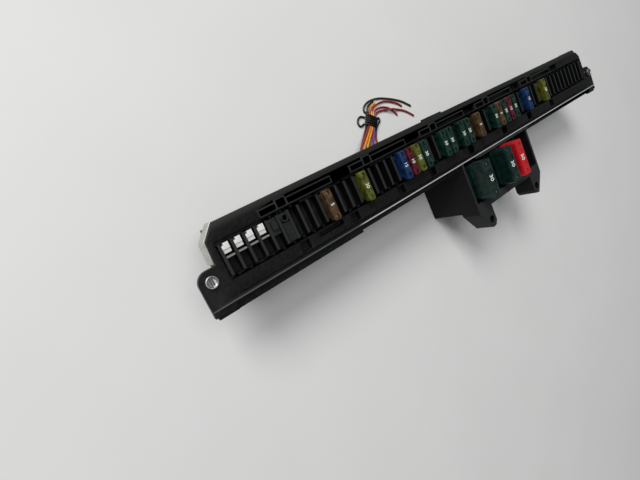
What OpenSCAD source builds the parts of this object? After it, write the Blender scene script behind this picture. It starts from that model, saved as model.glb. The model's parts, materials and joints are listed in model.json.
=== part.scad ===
// Long fuse panel: one row of blade fuses, a pocket of large blade fuses and a short wire pigtail.
// X runs along the row, Y across it towards the wires, Z up out of the fuse side.

/* [Fuse row] */
// Distance from one slot to the next
pitch = 7.2; // [7:0.1:7.4]
// Numbered slots in the row
slots = 44; // [42:1:46]
// Thickness of the ribs between slots
rib_t = 1.7; // [1.4:0.1:1.9]
// Length of the slot well, across the row
well_w = 21.4; // [21:0.1:22]
// Height of the ribs above the socket block
rib_h = 6; // [5:0.5:7]

/* [Carrier] */
// Strip between the slot well and the top edge
top_strip = 10; // [9:0.5:11]
// Band between the slot well and the bead
low_band = 10.6; // [10:0.1:11]
// How far the lower flange stands out past the bead
flange_w = 4.6; // [4:0.1:6]
// Thickness of the deck
deck_t = 5; // [4.5:0.5:6]
// Depth of the skirt below the deck face
skirt_d = 13; // [12:0.5:15]
// Length of one raised frame with the gap after it
frame_step = 67.2; // [60:0.1:70]

/* [Large fuse pocket] */
// Distance from one large fuse to the next
maxi_pitch = 14.8; // [14:0.1:16]
// Large fuse positions
maxi_slots = 6; // [6:1:7]
// Left wall of the pocket, from the first rib
maxi_x = 147.6; // [144:0.4:150]
// Length of the pocket across the row
maxi_w = 38.6; // [37:0.1:40]
// Wall of the pocket
maxi_wall = 2.2; // [1.8:0.1:2.6]

/* [Fasteners] */
// Diameter of the quarter-turn stud
stud_d = 5; // [4:0.1:5.6]
// Diameter of its head
stud_head_d = 6.8; // [6.6:0.1:8]
// Diameter of the screw hole in the pocket's ears
ear_hole_d = 5.5; // [4.5:0.1:6]

/* [Wires] */
// Diameter of each wire
wire_d = 1.6; // [1.3:0.1:1.8]

/* [Hidden] */

$fn = 48;
eps = 0.01;      // overreach of a cutting tool
fit = 0.1;       // gap between a piece and the place it sits in

// Levels, from the deck face at 0 downwards
back_z = -46;                       // the plane the panel stands on
deck_z = -deck_t;
block_top = -rib_h;
block_z = -17;
cover_t = 3;
rim_h = 0.6;                        // rims on the deck face
cover_z = back_z + cover_t;

// Places across the row, from the upper border of the slot well at 0
top_y = top_strip;
tab_y = top_y + 1.2;
well_y = -well_w;
bead_y = well_y - low_band;
flange_y = bead_y - flange_w;
slot_mid_y = -well_w / 2;
maxi_top_y = bead_y - 0.1;
maxi_low_y = maxi_top_y - maxi_w - 1;
ear_low_y = maxi_low_y - 17.2;

// Places along the row, from the first numbered rib at 0
end_slots = 6;
row_end = slots * pitch;
mid_x = row_end / 2;
well_x = -end_slots * pitch - 1.8;
edge_x = -49;
stud_x = -55;
stud_y = -17;
ear_r = 6.4;
maxi_len = maxi_pitch * maxi_slots + 2 * maxi_wall - 0.2;
maxi_end = maxi_x + maxi_len;
shell_x = -38;
shell_w = 2 * (mid_x - shell_x);
shell_low_y = bead_y + 2.6;
shell_top_y = top_y - 2.6;
shell_wall = 2.2;
grommet_x = 104.8;
grommet_z = -38.2;
grommet_half = 12.4;                // half the length of the grommet's slot
grommet_h = 2.6;                    // and half its height
loom_y = -11;
mid_y = (tab_y + ear_low_y) / 2;

// Standard blade fuse
fuse_w = 19.1;
fuse_t = 5.1;
fuse_top = 6.5;
fuse_head_h = 4.2;
fuse_body_h = 12;
fuse_low_w = 15.8;
fuse_low_t = 3.9;
blade_w = 5.2;
blade_t = 0.65;
blade_y = 4.7;
fuse_tip = fuse_top - 18.5;

// Large blade fuse
maxi_f_w = 29.2;
maxi_f_t = 8.9;
maxi_top = 13.5;
maxi_body_h = 24;
maxi_blade_w = 8;
maxi_blade_t = 0.8;
maxi_blade_y = 6.9;
maxi_tip = maxi_top - 34.3;
maxi_fuse_y = maxi_top_y - 2.2 - maxi_f_w / 2;
maxi_floor = maxi_top - maxi_body_h - 0.3;

tan = "#9A7B55";
red = "#8A2A33";
blue = "#2A5A9A";
yellow = "#8E9434";
green = "#2F5E55";
black = "#26272A";
metal = "#B4B6B4";

function slot_x(k) = (k + 0.5) * pitch;
function maxi_slot_x(k) = maxi_x + maxi_wall + (k - 0.5) * maxi_pitch - 0.1;
function flip(x) = 2 * mid_x - x;

module placed() { translate([-mid_x, -mid_y, -back_z]) children(); }
module both_ends() {
    children();
    translate([2 * mid_x, 0, 0]) mirror([1, 0, 0]) children();
}
module box(x0, y0, z0, x1, y1, z1) {
    translate([x0, y0, z0]) cube([x1 - x0, y1 - y0, z1 - z0]);
}

// ---- Carrier ---------------------------------------------------------------

// Outline of the deck, chamfered at its two upper corners; grow shrinks or swells it evenly
module deck_plate(z0, z1, grow) {
    points = [[-41, top_y + grow], [-48.2 - grow, 2], [edge_x - grow, -10],
              [edge_x - grow, bead_y - grow], [flip(edge_x) + grow, bead_y - grow],
              [flip(edge_x) + grow, -10], [flip(-48.2) + grow, 2], [flip(-41), top_y + grow]];
    translate([0, 0, z0]) linear_extrude(z1 - z0) polygon(points);
}

module stud_ear() {
    translate([stud_x, stud_y, -3.5]) cylinder(r = ear_r, h = 3.5);
    box(stud_x - ear_r, flange_y + 1.6, -3.5, edge_x + 1, stud_y, 0);
    box(stud_x, stud_y, -3.5, edge_x + 1, stud_y + ear_r, 0);
    box(stud_x - ear_r + 1.6, flange_y, -3.5, edge_x + 1, flange_y + 2, -0.6);
}

// Lower flange: a step down past the bead, cut away where the large fuse pocket stands
module flange() {
    step_x = 43;
    low = -4.5;
    high = -1.5;
    box(stud_x - ear_r + 1.6, flange_y, low, step_x, bead_y + 1, high);
    box(step_x - 1, flange_y + 1.4, low, maxi_x - 0.2, bead_y + 1, high);
    box(maxi_end + 0.2, flange_y + 1.4, low, flip(stud_x - ear_r + 1.6), bead_y + 1, high);
}

module bead() {
    left = edge_x - 8;
    right = maxi_x - 1;
    translate([left, bead_y + 0.7, -0.1]) rotate([0, 90, 0]) cylinder(r = 0.7, h = right - left);
    translate([maxi_end + 1, bead_y + 0.7, -0.1]) rotate([0, 90, 0])
        cylinder(r = 0.7, h = flip(left) - maxi_end - 1);
}

// Low rim that stands up round the pockets of one frame
module frame_rim(x) {
    box(x + 0.5, 0.4, -eps, x + 52.3, 4.9, rim_h);
    box(x + 12.1, 4, -eps, x + 19.1, 6.3, rim_h);
}

// Pockets of one raised frame: shallow, deep between two ribs, shallow, then the deep gap
module frame_pockets(x) {
    shallow = -3.4;
    deep = -deck_t + 0.6;
    box(x + 1.2, 1.2, shallow, x + 11.6, 4.2, 1);
    box(x + 12.8, 1.2, deep, x + 18.4, 5.6, 1);
    box(x + 19.6, 1.2, shallow, x + 51.6, 4.2, 1);
    box(x + 53, 1.2, deep, x + frame_step - 1.2, 5.6, 1);
}

module carrier_frame() {
    gap_at = [1.5, 41, 84, 117.5, 164, 212, 252, 292];
    gap_z = -deck_t + 0.6;
    frames = 5;
    first_frame = -17;
    color(black) placed() difference() {
        union() {
            deck_plate(-skirt_d, 0, 0);
            both_ends() stud_ear();
            flange();
            bead();
            box(136, top_y - 1, -skirt_d + 2, 148, tab_y, -0.8);
            for (i = [0:frames - 1]) frame_rim(first_frame + i * frame_step);
        }
        // hollow under the deck, open at the back
        deck_plate(-skirt_d - 1, deck_z, -2.2);
        // slot well, open right through
        box(well_x, well_y, -skirt_d - 1, flip(well_x), 0, 1);
        // dusty step along the top edge
        box(edge_x - 1, 6.6, -0.8, flip(edge_x) + 1, top_y + 3, 1);
        for (i = [0:frames - 1]) frame_pockets(first_frame + i * frame_step);
        // gaps, the long recess and the groove of the lower band
        for (x = gap_at) box(x - 3.4, well_y - 6.6, gap_z, x + 3.4, well_y - 0.9, 1);
        box(12.5, well_y - 3.8, gap_z, 31.5, well_y - 1.1, 1);
        box(edge_x + 6, bead_y + 2.2, -1, flip(edge_x + 6), bead_y + 3, 1);
        both_ends() translate([stud_x, stud_y, -5]) cylinder(d = stud_d + fit, h = 6);
    }
}

module divider_comb() {
    rail = 1.9;
    rail_top = -1.4;
    color(black) placed() {
        box(well_x + fit, -rail, block_top, flip(well_x) - fit, -fit, rail_top);
        box(well_x + fit, well_y + fit, block_top, flip(well_x) - fit, well_y + rail, rail_top);
        for (k = [-end_slots:slots + end_slots])
            box(k * pitch - rib_t / 2, well_y + rail - eps, block_top, k * pitch + rib_t / 2, -rail + eps, 0);
        for (k = [-end_slots:slots + end_slots - 1]) {
            box(slot_x(k) - 0.7, -rail + 0.2, rail_top - eps, slot_x(k) + 0.7, -0.5, -0.3);
            box(slot_x(k) - 0.7, well_y + 0.5, rail_top - eps, slot_x(k) + 0.7, well_y + rail - 0.2, -0.3);
        }
    }
}

// Block under the ribs with a slit and a chamber for every terminal
module socket_block() {
    color("#1D1E20") placed() difference() {
        box(well_x + fit, well_y + fit, block_z, flip(well_x) - fit, -fit, block_top);
        for (k = [0:slots - 1], side = [-1, 1]) {
            y = slot_mid_y + side * blade_y;
            box(slot_x(k) - 0.8, y - 3, block_z - 1, slot_x(k) + 0.8, y + 3, block_top + 1);
            box(slot_x(k) - 1.7, y - 3.3, block_z - 1, slot_x(k) + 1.7, y + 3.3, block_top - 2);
        }
    }
}

// One fork terminal: a sleeve that grips the blade, and its crimp tail
module terminal(x, y, top, half_t, half_w, depth, tail) {
    difference() {
        box(x - half_t, y - half_w, top - depth, x + half_t, y + half_w, top);
        box(x - 0.55, y - half_w + 0.3, top - depth + 1, x + 0.55, y + half_w - 0.3, top + 1);
    }
    box(x - 0.9, y - 1.2, top - depth - tail, x + 0.9, y + 1.2, top - depth + eps);
}

module blade_terminals() {
    color("#B9A46A") placed() for (k = [0:slots - 1], side = [-1, 1])
        terminal(slot_x(k), slot_mid_y + side * blade_y, block_top - 2.2, 1.5, 3.1, 10.2, 5);
}

// ---- Rear shell ------------------------------------------------------------

module slot_prism(half_l, half_h, y0, y1) {
    r = half_h;
    for (side = [-1, 1]) translate([grommet_x + side * (half_l - r), y1, grommet_z]) rotate([90, 0, 0])
        cylinder(r = r, h = y1 - y0);
    box(grommet_x - half_l + r, y0, grommet_z - r, grommet_x + half_l - r, y1, grommet_z + r);
}

module rear_housing() {
    panels = 14;
    panel_step = (shell_w - 0.8) / panels;
    panel_d = 0.8;
    color(black) placed() difference() {
        box(shell_x, shell_low_y, cover_z, flip(shell_x), shell_top_y, deck_z);
        // shallow panels leave ribs standing on both long walls, except round the grommet
        for (i = [0:panels - 1]) {
            left = shell_x + 1.4 + i * panel_step;
            right = left + panel_step - 2;
            box(left, shell_low_y - 1, cover_z + 7, right, shell_low_y + panel_d, -skirt_d - 2);
            if (abs((left + right) / 2 - grommet_x) > panel_step / 2 + grommet_half + 3)
                box(left, shell_top_y - panel_d, cover_z + 7, right, shell_top_y + 1, -skirt_d - 2);
        }
        box(shell_x + shell_wall, shell_low_y + shell_wall, cover_z - 1,
            flip(shell_x) - shell_wall, shell_top_y - shell_wall, 1);
        // the ends make way for the socket block and the comb
        box(shell_x - 1, well_y, block_z - fit, flip(shell_x) + 1, 0, 1);
        slot_prism(grommet_half + 1.2, grommet_h + 1.3, shell_top_y - 4, shell_top_y + 1);
    }
}

module rear_cover() {
    color("#202124") placed() difference() {
        union() {
            box(shell_x, shell_low_y, back_z, flip(shell_x), shell_top_y, cover_z);
            for (x = cover_screw_x, y = cover_screw_y)
                translate([x, y, cover_z - eps]) cylinder(d = 7, h = 6);
        }
        for (x = cover_screw_x, y = cover_screw_y) translate([x, y, back_z - 1]) {
            cylinder(d = 3.1, h = 12);
            cylinder(d = 6.2, h = 2.6);
        }
    }
}

cover_screw_x = [shell_x + 14, mid_x - 76, mid_x + 76, flip(shell_x) - 14];
cover_screw_y = [shell_low_y + 7, shell_top_y - 7];

module cover_screws() {
    color(metal) placed() for (x = cover_screw_x, y = cover_screw_y) translate([x, y, back_z]) {
        difference() {
            translate([0, 0, 0.2]) cylinder(d = 5.8, h = 1.4);
            translate([-2.2, -0.4, -1]) cube([4.4, 0.8, 1.9]);
        }
        translate([0, 0, 1.6 - eps]) cylinder(d = 3, h = 7);
    }
}

// Plated strip that feeds one blade of every fuse
module supply_bar() {
    color("#C08A5A") placed()
        box(shell_x + 8, slot_mid_y - blade_y - 2, -25, flip(shell_x) - 8, slot_mid_y - blade_y + 2, -23.9);
}

// Taped wires between the terminals, with a flat branch to the grommet
module inner_loom() {
    loom_r = 4.2;
    loom_end = 14;
    branch = [9.6, 2.2];
    color("#1B1B1C") placed() {
        translate([loom_end, loom_y, grommet_z]) rotate([0, 90, 0])
            cylinder(r = loom_r, h = row_end - 2 * loom_end);
        box(grommet_x - branch[0], loom_y, grommet_z - branch[1],
            grommet_x + branch[0], shell_top_y - shell_wall - 0.3, grommet_z + branch[1]);
    }
}

// Bent strip that follows the chamfered end below the deck
module end_bracket() {
    outer = [[-41.2, 10.6], [-49.3, 2.2], [-50.2, -9.9], [-49.1, -9.9], [-48.3, 2.05], [-41, 10.06]];
    translate([0, 0, -skirt_d - 1]) linear_extrude(skirt_d - 1) polygon(outer);
}
module end_bracket_left() { color("#D2D4CE") placed() end_bracket(); }
module end_bracket_right() {
    color("#D2D4CE") placed() translate([2 * mid_x, 0, 0]) mirror([1, 0, 0]) end_bracket();
}

// ---- Pieces in the blank slots ---------------------------------------------

// White locks: a tab flush with one side, a face and a lower step
module lock_blocks() {
    color("#E6E6E4") placed() for (k = [-6:-3]) {
        x = slot_x(k) - 0.5;
        box(x - 2.2, -7.8, block_top, x + 2.2, -5.6 + eps, -0.9);
        box(x - 2.2, -5.6, block_top, x + 2.2, -3.5, -0.4);
        box(x - 0.7, -3.5 - eps, block_top, x + 2.2, -2.1, -0.4);
    }
}

module lock_strips() {
    color("#A9ABA9") placed() for (k = [-6:-3])
        box(slot_x(k) - 2.6, -10.4, block_top, slot_x(k) + 2.6, -9.4, -1);
}

module clip_block() {
    x = slot_x(-2);
    color("#3A3B3D") placed() union() {
        box(x - 2.6, -12, block_top, x + 2.6, -2.2, -0.8);
        box(x - 1.8, -9, -0.8 - eps, x + 1.8, -3.4, 0.9);
    }
}

module locator_block() {
    x = slot_x(-1);
    color("#333436") placed() difference() {
        union() {
            box(x - 2.6, well_y + 2.1, block_top, x + 2.6, -2.1, 0);
            translate([x, -5, -eps]) cylinder(d = 5.2, h = 1.3);
            box(x - 2.4, -19, -eps, x + 2.4, -8, 0.8);
        }
        translate([x, -5, -5]) cylinder(d = 2.9, h = 8);
    }
}

// ---- Quarter-turn studs ----------------------------------------------------

module stud(x) {
    translate([x, stud_y, 0]) {
        difference() {
            translate([0, 0, 0.3]) cylinder(d = stud_head_d, h = 1.9);
            translate([0, 0, 1.8]) cylinder(d = stud_head_d - 2, h = 1);
            translate([-0.5, 1 - stud_head_d / 2, 1]) cube([1, stud_head_d - 2, 2]);
        }
        translate([0, 0, -13]) cylinder(d = stud_d, h = 13.3 + eps);
        translate([-5, 0, -11.2]) rotate([0, 90, 0]) cylinder(d = 2, h = 10);
    }
}
module stud_left() { color(metal) placed() stud(stud_x); }
module stud_right() { color(metal) placed() stud(flip(stud_x)); }
module stud_retainers() {
    color("#4A4B4D") placed() both_ends() translate([stud_x, stud_y, -5.1]) difference() {
        cylinder(r = ear_r - 0.6, h = 1.5);
        translate([0, 0, -1]) cylinder(d = stud_d + fit, h = 4);
    }
}

// ---- Large fuse pocket -----------------------------------------------------

module maxi_ear(x, dir) {
    outline = [[0, 0.1], [16.9, 0.1], [16.9, -13], [14.5, -16.5], [10.6, -17.2], [0, -2]];
    translate([x, maxi_low_y, -16.7]) linear_extrude(16.7)
        polygon([for (p = outline) [dir * p[0], p[1]]]);
}

module maxi_pocket() {
    hole_x = maxi_x + 11.6;
    color(black) placed() difference() {
        union() {
            box(maxi_x, maxi_low_y, back_z, maxi_end, maxi_top_y, 0);
            box(maxi_x + 20, maxi_top_y - 1.6, -eps, maxi_end, maxi_top_y, 1.8);
            maxi_ear(maxi_x, 1);
            maxi_ear(maxi_end, -1);
        }
        // room for the sockets and the fuses
        box(maxi_x + maxi_wall, maxi_fuse_y - 16.6, back_z + 2.4, maxi_end - maxi_wall, maxi_top_y - 1.6, 1);
        // low notch next to the deck
        box(maxi_x + maxi_wall, maxi_top_y - 2, -9, maxi_x + 18, maxi_top_y + 1, 1);
        for (x = [hole_x, maxi_x + maxi_end - hole_x])
            translate([x, maxi_low_y - 10.6, -20]) cylinder(d = ear_hole_d, h = 22);
    }
}

module maxi_socket() {
    low = maxi_fuse_y - 16.5;
    high = maxi_top_y - 1.7;
    left = maxi_x + maxi_wall + fit;
    right = maxi_end - maxi_wall - fit;
    color("#1D1E20") placed() difference() {
        union() {
            box(left, low, -30, right, high, maxi_floor);
            for (k = [1:maxi_slots - 1]) {
                x = maxi_slot_x(k) + maxi_pitch / 2;
                box(x - 1.2, low, maxi_floor - eps, x + 1.2, high, -3);
            }
        }
        for (k = [1:maxi_slots], side = [-1, 1]) {
            y = maxi_fuse_y + side * maxi_blade_y;
            box(maxi_slot_x(k) - 0.9, y - 4.5, -31, maxi_slot_x(k) + 0.9, y + 4.5, maxi_floor + 1);
            box(maxi_slot_x(k) - 2.2, y - 4.9, -31, maxi_slot_x(k) + 2.2, y + 4.9, maxi_floor - 2);
        }
    }
}

module maxi_terminals() {
    color("#B9A46A") placed() for (k = [1:maxi_slots], side = [-1, 1])
        terminal(maxi_slot_x(k), maxi_fuse_y + side * maxi_blade_y, maxi_floor - 2.2, 2, 4.7, 15, 5);
}

module maxi_supply_bar() {
    y = maxi_fuse_y - maxi_blade_y;
    color("#C08A5A") placed() box(maxi_x + 6, y - 3.5, -36.4, maxi_end - 6, y + 3.5, -34.9);
}

// ---- Fuses -----------------------------------------------------------------

// Metal strip of a blade fuse: two blades joined by the thin link that melts
module fuse_strip(x, y, t, half, w, tip, top, link_z, link_h) {
    box(x - t / 2, y - half - w / 2, tip, x + t / 2, y - half + w / 2, top);
    box(x - t / 2, y + half - w / 2, tip, x + t / 2, y + half + w / 2, top);
    box(x - t / 2, y - half, link_z, x + t / 2, y + half, link_z + link_h);
}

module blade_fuse(k, shade) {
    x = slot_x(k);
    y = slot_mid_y;
    base = fuse_top - fuse_body_h;
    color(shade) placed() {
        difference() {
            union() {
                box(x - fuse_t / 2, y - fuse_w / 2, fuse_top - fuse_head_h,
                    x + fuse_t / 2, y + fuse_w / 2, fuse_top);
                box(x - fuse_low_t / 2, y - fuse_low_w / 2, base,
                    x + fuse_low_t / 2, y + fuse_low_w / 2, fuse_top - 1);
            }
            box(x - 0.45, y - blade_y - 2.75, base - 1, x + 0.45, y + blade_y + 2.75, 4.6);
            for (side = [-1, 1]) translate([x, y + side * 7.3, 4]) cylinder(d = 1.9, h = 4);
        }
        fuse_strip(x, y, blade_t, blade_y, blade_w, fuse_tip, 4.4, 0.4, 1.4);
    }
}

module maxi_body(k, shade) {
    x = maxi_slot_x(k);
    y = maxi_fuse_y;
    base = maxi_top - maxi_body_h;
    color(shade) placed() difference() {
        union() {
            box(x - maxi_f_t / 2, y - maxi_f_w / 2, 0, x + maxi_f_t / 2, y + maxi_f_w / 2, maxi_top);
            box(x - 3.6, y - 13.4, base, x + 3.6, y + 13.4, maxi_top - 1);
        }
        box(x - 0.6, y - maxi_blade_y - 4.2, base - 1, x + 0.6, y + maxi_blade_y + 4.2, 10.8);
        for (side = [-1, 1]) translate([x, y + side * 11.2, 10]) cylinder(d = 2.6, h = 5);
    }
}

module maxi_element(k) {
    color(metal) placed() fuse_strip(maxi_slot_x(k), maxi_fuse_y, maxi_blade_t, maxi_blade_y,
                                     maxi_blade_w, maxi_tip, 10.6, 1, 3);
}

module fuse_03_5a() { blade_fuse(3, tan); }
module fuse_07_20a() { blade_fuse(7, yellow); }
module fuse_12_15a() { blade_fuse(12, blue); }
module fuse_13_10a() { blade_fuse(13, red); }
module fuse_14_20a() { blade_fuse(14, yellow); }
module fuse_15_30a() { blade_fuse(15, green); }
module fuse_18_30a() { blade_fuse(18, green); }
module fuse_19_30a() { blade_fuse(19, green); }
module fuse_21_30a() { blade_fuse(21, green); }
module fuse_22_30a() { blade_fuse(22, green); }
module fuse_24_5a() { blade_fuse(24, tan); }
module fuse_27_30a() { blade_fuse(27, green); }
module fuse_28_5a() { blade_fuse(28, tan); }
module fuse_29_30a() { blade_fuse(29, green); }
module fuse_30_10a() { blade_fuse(30, red); }
module fuse_31_30a() { blade_fuse(31, green); }
module fuse_34_15a() { blade_fuse(34, blue); }
module fuse_38_20a() { blade_fuse(38, yellow); }
module maxi_1_body() { maxi_body(1, green); }
module maxi_1_element() { maxi_element(1); }
module maxi_3_body() { maxi_body(3, green); }
module maxi_3_element() { maxi_element(3); }
module maxi_4_body() { maxi_body(4, "#C8202A"); }
module maxi_4_element() { maxi_element(4); }

// ---- Wires -----------------------------------------------------------------

module wire_grommet() {
    color("#1A1A1A") placed() difference() {
        union() {
            slot_prism(grommet_half + 2.7, grommet_h + 2.8, shell_top_y, shell_top_y + 1.6);
            slot_prism(grommet_half + 1.1, grommet_h + 1.2, shell_top_y - shell_wall, shell_top_y + eps);
        }
        slot_prism(grommet_half, grommet_h, shell_top_y - 5, shell_top_y + 5);
    }
}

// Eight-sided tube along a smooth curve through the given points
function knot(p, i) = p[max(0, min(len(p) - 1, i))];
function curve(p, i, t) = let (a = knot(p, i - 1), b = knot(p, i), c = knot(p, i + 1), d = knot(p, i + 2))
    0.5 * ((2 * b) + (c - a) * t + (2 * a - 5 * b + 4 * c - d) * t * t + (3 * b - a - 3 * c + d) * t * t * t);
function laid(v) = [v[0], v[1], max(v[2], back_z + wire_d / 2)];
function path(p, n) = concat([for (i = [0:len(p) - 2], j = [0:n - 1]) laid(curve(p, i, j / n))],
                             [laid(p[len(p) - 1])]);
function unit(v) = v / norm(v);
function heading(p, i) = unit(knot(p, i + 1) - knot(p, i - 1));

module tube(points, r) {
    p = path(points, 4);
    up = [0.05, 0.03, 1];
    rings = [for (i = [0:len(p) - 1]) let (d = heading(p, i), u = unit(cross(d, up)), v = cross(d, u))
        for (a = [0:45:315]) p[i] + r * (cos(a) * u + sin(a) * v)];
    last = len(p) - 1;
    sides = [for (i = [0:last - 1], k = [0:7]) [i * 8 + k, i * 8 + (k + 1) % 8,
                                                (i + 1) * 8 + (k + 1) % 8, (i + 1) * 8 + k]];
    ends = [[for (k = [7:-1:0]) k], [for (k = [0:7]) last * 8 + k]];
    polyhedron(rings, concat(sides, ends));
}

// Where a wire enters (end = -1) and leaves (end = 1) the tie; s counts across the bundle
tie_at = [121.2, 26.6];
tie_dir = [0.56, 0.83];
tie_half = [6, 5.4];
tie_top = -41.2;
tie_wall = 0.3;
lower = -44.7;
upper = -42.9;
floor_z = back_z + wire_d / 2;
function tie_point(end, s, z) = concat(tie_at + end * (tie_half[1] + 0.3) * tie_dir
                                       + s * [tie_dir[1], -tie_dir[0]], [z]);
// Straight out of the grommet, down to the tie, through it and away along the floor
function route(x, z0, s, z, tail) = concat(
    [[x, shell_top_y - shell_wall, z0], [x, shell_top_y + 1, z0], [x + 0.4, shell_top_y + 2.8, z0 - 0.4]],
    [tie_point(-1, s, z), tie_point(0, s, z), tie_point(1, s, z)], tail);
// A wire cut off just past the tie
function stub(s, z) = [tie_point(1.4, s, z)];

row_1 = -37.2;
row_2 = -39.2;
red_path = route(95.4, row_1, -2.85, upper, stub(-2.85, upper));
orange_path = route(99, row_1, -0.95, upper,
    [[124.6, 34.2, -43.8], [126.6, 36.4, floor_z], [129.4, 37.8, floor_z], [132.6, 38.6, floor_z]]);
orange_2_path = route(102.6, row_1, 0.95, upper, stub(0.95, upper));
violet_path = route(108.2, row_1, 2.85, upper, stub(2.85, upper));
olive_path = route(96.8, row_2, -3.8, lower,
    [[119.6, 35.6, floor_z], [120.2, 38, floor_z], [122.8, 40.2, floor_z], [127, 41.6, floor_z],
     [132.8, 41.9, floor_z], [140.2, 40.8, floor_z], [148, 38.2, floor_z], [155.2, 35.2, floor_z],
     [162, 31.6, floor_z], [169.4, 25.8, floor_z]]);
black_path = route(101.2, row_2, -1.9, lower,
    [[122.8, 35.2, floor_z], [124.6, 37.8, floor_z], [127.6, 39.4, floor_z], [131.6, 40.3, floor_z]]);
red_2_path = route(105.4, row_2, 0, lower,
    [[126.8, 34, floor_z], [130, 36, floor_z], [134, 37.2, floor_z], [139, 37.6, floor_z],
     [144.4, 37, floor_z], [150.4, 34.8, floor_z], [155.8, 31.8, floor_z], [159.4, 28.6, floor_z]]);
red_3_path = route(110, row_2, 1.9, lower,
    [[128.4, 32, floor_z], [131.6, 33.6, floor_z], [136.4, 34, floor_z], [141.4, 32.8, floor_z],
     [145.8, 30.4, floor_z], [148.8, 27.2, floor_z], [151, 23.4, floor_z]]);
red_4_path = route(114.4, row_2, 3.8, lower,
    [[130.2, 30.6, floor_z], [133.4, 31.4, floor_z], [137.4, 31.2, floor_z], [141.8, 30.2, -44.6],
     [146.4, 29, -43], [151.2, 27.8, -44.4], [156, 26.2, floor_z], [160.8, 23.8, floor_z],
     [165, 20.6, floor_z], [168.6, 17.4, floor_z]]);
loop_path = [[117.6, 31.4, floor_z], [114, 33.2, floor_z], [110.6, 31.8, floor_z], [109.2, 28.8, floor_z],
             [110.6, 26.2, floor_z], [114.6, 27, floor_z]];
tail_path = [[127.4, 25.8, floor_z], [130.6, 27, floor_z], [130.8, 24.4, floor_z],
             [127.4, 22.2, floor_z], [124, 19.2, floor_z], [121.6, 15.6, floor_z], [120, 11.6, floor_z]];

module wire_red() { color("#A4343A") placed() tube(red_path, wire_d / 2); }
module wire_red_2() { color("#A4343A") placed() tube(red_2_path, wire_d / 2); }
module wire_red_3() { color("#A4343A") placed() tube(red_3_path, wire_d / 2); }
module wire_red_4() { color("#A4343A") placed() tube(red_4_path, wire_d / 2); }
module wire_orange() { color("#E8A030") placed() tube(orange_path, wire_d / 2); }
module wire_orange_2() { color("#E8A030") placed() tube(orange_2_path, wire_d / 2); }
module wire_violet() { color("#7A5A9A") placed() tube(violet_path, wire_d / 2); }
module wire_black() { color("#202020") placed() tube(black_path, wire_d / 2); }
module wire_olive() { color("#505038") placed() tube(olive_path, wire_d / 2); }
module tie_loop() { color("#161616") placed() tube(loop_path, wire_d / 2); }
module tie_tail() { color("#161616") placed() tube(tail_path, wire_d / 2); }

// Tape wound round the bundle: a flat sleeve with a slot for two layers of wires
module wire_tie() {
    turn = -atan2(tie_dir[0], tie_dir[1]);
    color("#161616") placed() translate([tie_at[0], tie_at[1], 0]) rotate([0, 0, turn]) difference() {
        box(-tie_half[0], -tie_half[1], back_z, tie_half[0], tie_half[1], tie_top);
        box(-tie_half[0] + 2 * tie_wall, -tie_half[1] - 1, back_z + tie_wall,
            tie_half[0] - 2 * tie_wall, tie_half[1] + 1, tie_top - 2 * tie_wall);
    }
}

carrier_frame();
divider_comb();
socket_block();
blade_terminals();
rear_housing();
rear_cover();
cover_screws();
supply_bar();
inner_loom();
end_bracket_left();
end_bracket_right();
lock_blocks();
lock_strips();
clip_block();
locator_block();
stud_left();
stud_right();
stud_retainers();
maxi_pocket();
maxi_socket();
maxi_terminals();
maxi_supply_bar();
wire_grommet();
wire_tie();
fuse_03_5a();
fuse_07_20a();
fuse_12_15a();
fuse_13_10a();
fuse_14_20a();
fuse_15_30a();
fuse_18_30a();
fuse_19_30a();
fuse_21_30a();
fuse_22_30a();
fuse_24_5a();
fuse_27_30a();
fuse_28_5a();
fuse_29_30a();
fuse_30_10a();
fuse_31_30a();
fuse_34_15a();
fuse_38_20a();
maxi_1_body();
maxi_1_element();
maxi_3_body();
maxi_3_element();
maxi_4_body();
maxi_4_element();
wire_red();
wire_red_2();
wire_red_3();
wire_red_4();
wire_orange();
wire_orange_2();
wire_violet();
wire_black();
wire_olive();
tie_loop();
tie_tail();
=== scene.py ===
"""Looks of the long fuse panel: black carrier, blade fuses, pocket of large fuses and wires."""

import json
import math

import bmesh
import bpy
from mathutils import Matrix, Vector


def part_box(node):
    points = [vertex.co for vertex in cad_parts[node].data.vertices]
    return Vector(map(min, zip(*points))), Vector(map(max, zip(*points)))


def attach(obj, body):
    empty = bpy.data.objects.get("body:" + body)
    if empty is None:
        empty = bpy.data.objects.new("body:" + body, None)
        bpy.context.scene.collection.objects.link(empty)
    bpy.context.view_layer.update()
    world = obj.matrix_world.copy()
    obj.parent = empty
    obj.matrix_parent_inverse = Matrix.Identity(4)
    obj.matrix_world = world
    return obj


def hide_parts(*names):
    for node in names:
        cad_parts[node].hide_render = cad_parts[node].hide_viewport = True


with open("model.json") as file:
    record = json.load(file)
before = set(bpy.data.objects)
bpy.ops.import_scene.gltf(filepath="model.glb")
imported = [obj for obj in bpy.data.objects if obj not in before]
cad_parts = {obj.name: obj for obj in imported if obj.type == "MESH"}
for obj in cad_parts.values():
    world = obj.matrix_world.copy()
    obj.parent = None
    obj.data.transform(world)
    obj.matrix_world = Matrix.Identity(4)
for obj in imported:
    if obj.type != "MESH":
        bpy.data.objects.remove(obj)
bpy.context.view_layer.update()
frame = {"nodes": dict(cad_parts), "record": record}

NODES = frame["nodes"]
BODIES = frame["record"]["behaviour"]["bodies"]

# ---- The row's own millimetres ------------------------------------------------
# x runs from the first numbered rib, y from the upper border of the slot well, z from the deck.

MM = 0.001
PITCH = 7.2
SLOTS = 44
BACK_Z = -46
COMB_FIT = 0.1

comb_low, comb_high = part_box("divider_comb")
ROW = Vector(((comb_low.x + comb_high.x) / 2 - SLOTS / 2 * PITCH * MM,
              comb_high.y + COMB_FIT * MM, comb_high.z))
PLACE = Matrix.Translation(ROW) @ Matrix.Scale(MM, 4)


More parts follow.
